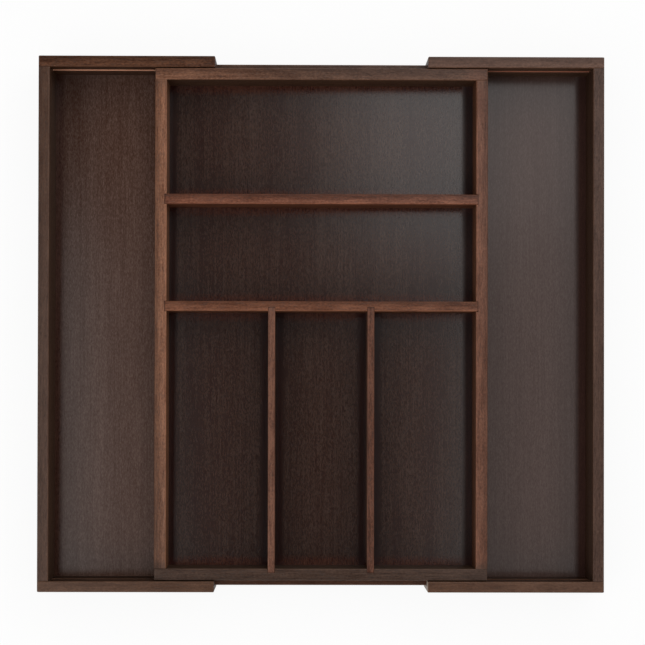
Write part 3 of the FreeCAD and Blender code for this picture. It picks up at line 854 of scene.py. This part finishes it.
bpy.ops.object.select_all(action="DESELECT")
bpy.ops.mesh.primitive_cylinder_add(vertices=32, radius=HEAD_WIDTH / 2, depth=RIM, location=(0, 0, RIM / 2))
screw = bpy.context.object
bpy.ops.object.transform_apply(location=True, rotation=True, scale=True)
pick_faces(screw, lambda face: face.normal.z > FACING)
for rise, narrowing in ((CONE, SHANK_WIDTH / HEAD_WIDTH), (SHANK, 1.0), (POINT, POINT_NARROWING)):
    bpy.ops.mesh.extrude_region_move(TRANSFORM_OT_translate={"value": (0, 0, rise)})
    bpy.ops.transform.resize(value=(narrowing, narrowing, 1))
bpy.ops.object.mode_set(mode="OBJECT")
print("screw height in mm:", round(screw.dimensions.z / MM, 2))

# %% Cut the cross recess
BAR_SIZE = (3.2 * MM, 0.75 * MM, 2.2 * MM)

# How far the top of each bar is narrowed, mostly along its length.
BAR_TAPERS = ((0.35, 0.8, 1), (0.8, 0.35, 1))

for bar, taper in enumerate(BAR_TAPERS):
    bpy.ops.object.select_all(action="DESELECT")
    bpy.ops.mesh.primitive_cube_add(size=1)
    cutter = bpy.context.object
    cutter.scale = BAR_SIZE
    cutter.rotation_euler.z = bar * math.pi / 2
    bpy.ops.object.transform_apply(location=True, rotation=True, scale=True)
    pick_faces(cutter, lambda face: face.normal.z > FACING)
    bpy.ops.transform.resize(value=taper)
    bpy.ops.object.mode_set(mode="OBJECT")
    bpy.ops.object.select_all(action="DESELECT")
    screw.select_set(True)
    bpy.context.view_layer.objects.active = screw
    cut = screw.modifiers.new("cross", "BOOLEAN")
    cut.operation = "DIFFERENCE"
    cut.object = cutter
    bpy.ops.object.modifier_apply(modifier=cut.name)
    bpy.data.objects.remove(cutter)
bpy.ops.object.shade_smooth_by_angle(angle=math.radians(30))
print("screw faces:", len(screw.data.polygons))

# %% A pair of screws in each side tray
# Screws come to a stop at any angle, here in radians.
FRONT_TURN = 0.4
BACK_TURN = 1.1

for side in ("left", "right"):
    low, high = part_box(side + "_stop_screws")
    across = (low.x + high.x) / 2
    reach = high.y - (high.x - low.x) / 2
    pair = ((-reach, FRONT_TURN), (reach, BACK_TURN))
    copies = [copy_to(screw, (across, y, low.z), turn) for y, turn in pair]
    piece = join_at_origin(copies, side + "_cross_screws")
    piece.data.materials.append(steel)
    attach(piece, side + "_tray")
    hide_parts(side + "_stop_screws")
    print(piece.name, "screws:", len(copies))
bpy.data.objects.remove(screw)

# %% [markdown]
# ## The table
# The tray lies on a white table. In the photograph it is as white as the page, and more light would get it
# there, but would fade the wood as well. So the table's own glow is added for rays from the camera, off a
# mirror or through glass, and not for the light that falls on the tray. A part of the table's plain colour
# stays in it, because that part carries the tray's soft shadow.

# %% Table under the tray
TABLE_SIDE = 8
TABLE_DROP = 0.5 * MM
MOTTLE = (14, 14)
GLOW_SHARE = 0.91


def seen_plainly(tree):
    """1 for rays from the camera, off a mirror or through glass, and 0 for the light on the tray."""
    rays = tree.nodes.new("ShaderNodeLightPath").outputs
    seen = work(tree, "MAXIMUM", rays["Is Camera Ray"], rays["Is Glossy Ray"])
    return work(tree, "MAXIMUM", seen, rays["Is Transmission Ray"])


bpy.ops.object.select_all(action="DESELECT")
bpy.ops.mesh.primitive_plane_add(size=TABLE_SIDE, location=(0, 0, -TABLE_DROP))
table = bpy.context.object
table.name = "white_table"

finish, tree, shader = new_finish("white_table")
shader.inputs["Roughness"].default_value = 0.9
shader.inputs["Specular IOR Level"].default_value = 0.0
place = tree.nodes.new("ShaderNodeTexCoord")
mottle = streaks(tree, place.outputs["Object"], *MOTTLE)
colour = ladder(tree, mottle, [(0.3, stain(245, 245, 244)), (0.7, stain(249, 249, 248))])
tree.links.new(colour, shader.inputs["Base Color"])
glow = tree.nodes.new("ShaderNodeEmission")
glow.inputs["Strength"].default_value = 1.0
mixer = tree.nodes.new("ShaderNodeMixShader")
tree.links.new(work(tree, "MULTIPLY", seen_plainly(tree), GLOW_SHARE), mixer.inputs[0])
tree.links.new(shader.outputs[0], mixer.inputs[1])
tree.links.new(glow.outputs[0], mixer.inputs[2])
tree.links.new(mixer.outputs[0], tree.nodes["Material Output"].inputs["Surface"])
table.data.materials.append(finish)
print("table:", table.name)

# %% [markdown]
# ## The room's light
# Most of the light is soft and comes from overhead, like a white ceiling, so the room is brighter towards
# the top. The camera sees it plain white all round. A mirror sees it white only near the horizon: straight
# overhead the mirrored room stays dark, because a bright one would veil the dark floors.

# %% White room
# Each fade over the height: where it starts and ends, and the brightness before and after.
OVERHEAD = (0.1, 0.9, 0.15, 0.82)
MIRRORED = (0.12, 0.5, 1.0, 0.02)

world = bpy.data.worlds.new("room")
bpy.context.scene.world = world
world.use_nodes = True
tree = world.node_tree
room = tree.nodes["Background"]
room.inputs["Color"].default_value = (1, 1, 1, 1)
height = axes(tree, tree.nodes.new("ShaderNodeTexCoord").outputs["Generated"])["Z"]
by_camera = tree.nodes.new("ShaderNodeLightPath").outputs["Is Camera Ray"]
strength = tree.nodes.new("ShaderNodeMix")
feed(tree, strength.inputs[0], seen_plainly(tree))
feed(tree, strength.inputs[2], fade(tree, height, *OVERHEAD))
feed(tree, strength.inputs[3], work(tree, "MAXIMUM", by_camera, fade(tree, height, *MIRRORED)))
tree.links.new(strength.outputs[0], room.inputs["Strength"])
print("room:", world.name)

# %% [markdown]
# ## Lamps
# The satin floors show a broad grey sheen, brightest at the back right. Three soft lamps make it: a large
# one high at the back right, a weaker one at the front left and a small one at the front right. A colour is
# to render about as it is written, so the lamps stay weak, and the view transform is the standard one.

# %% Soft lamps
# Each lamp: place, width across the tray and depth from front to back, in metres, and watts.
LAMPS = {
    "lamp_back_right": ((0.761, 0.971, 2.0), 1.65, 1.65, 12.96),
    "lamp_front_right": ((0.419, -0.256, 2.0), 0.295, 0.865, 0.84),
    "lamp_front_left": ((-0.962, -0.538, 2.0), 1.406, 1.649, 8.5),
}


def soft_lamp(name, place, width, depth, watts):
    """A soft box that faces the tray's middle."""
    lamp = bpy.data.objects.new(name, bpy.data.lights.new(name, "AREA"))
    bpy.context.scene.collection.objects.link(lamp)
    lamp.data.shape = "RECTANGLE"
    lamp.data.size = width
    lamp.data.size_y = depth
    lamp.data.energy = watts
    lamp.location = place
    back = Vector(place).normalized()
    side = Vector((0, 1, 0)).cross(back).normalized()
    lamp.rotation_euler = Matrix((side, back.cross(side), back)).transposed().to_euler()


for name, lamp in LAMPS.items():
    soft_lamp(name, *lamp)
bpy.context.scene.view_settings.view_transform = "Standard"
print("lamps:", list(LAMPS))
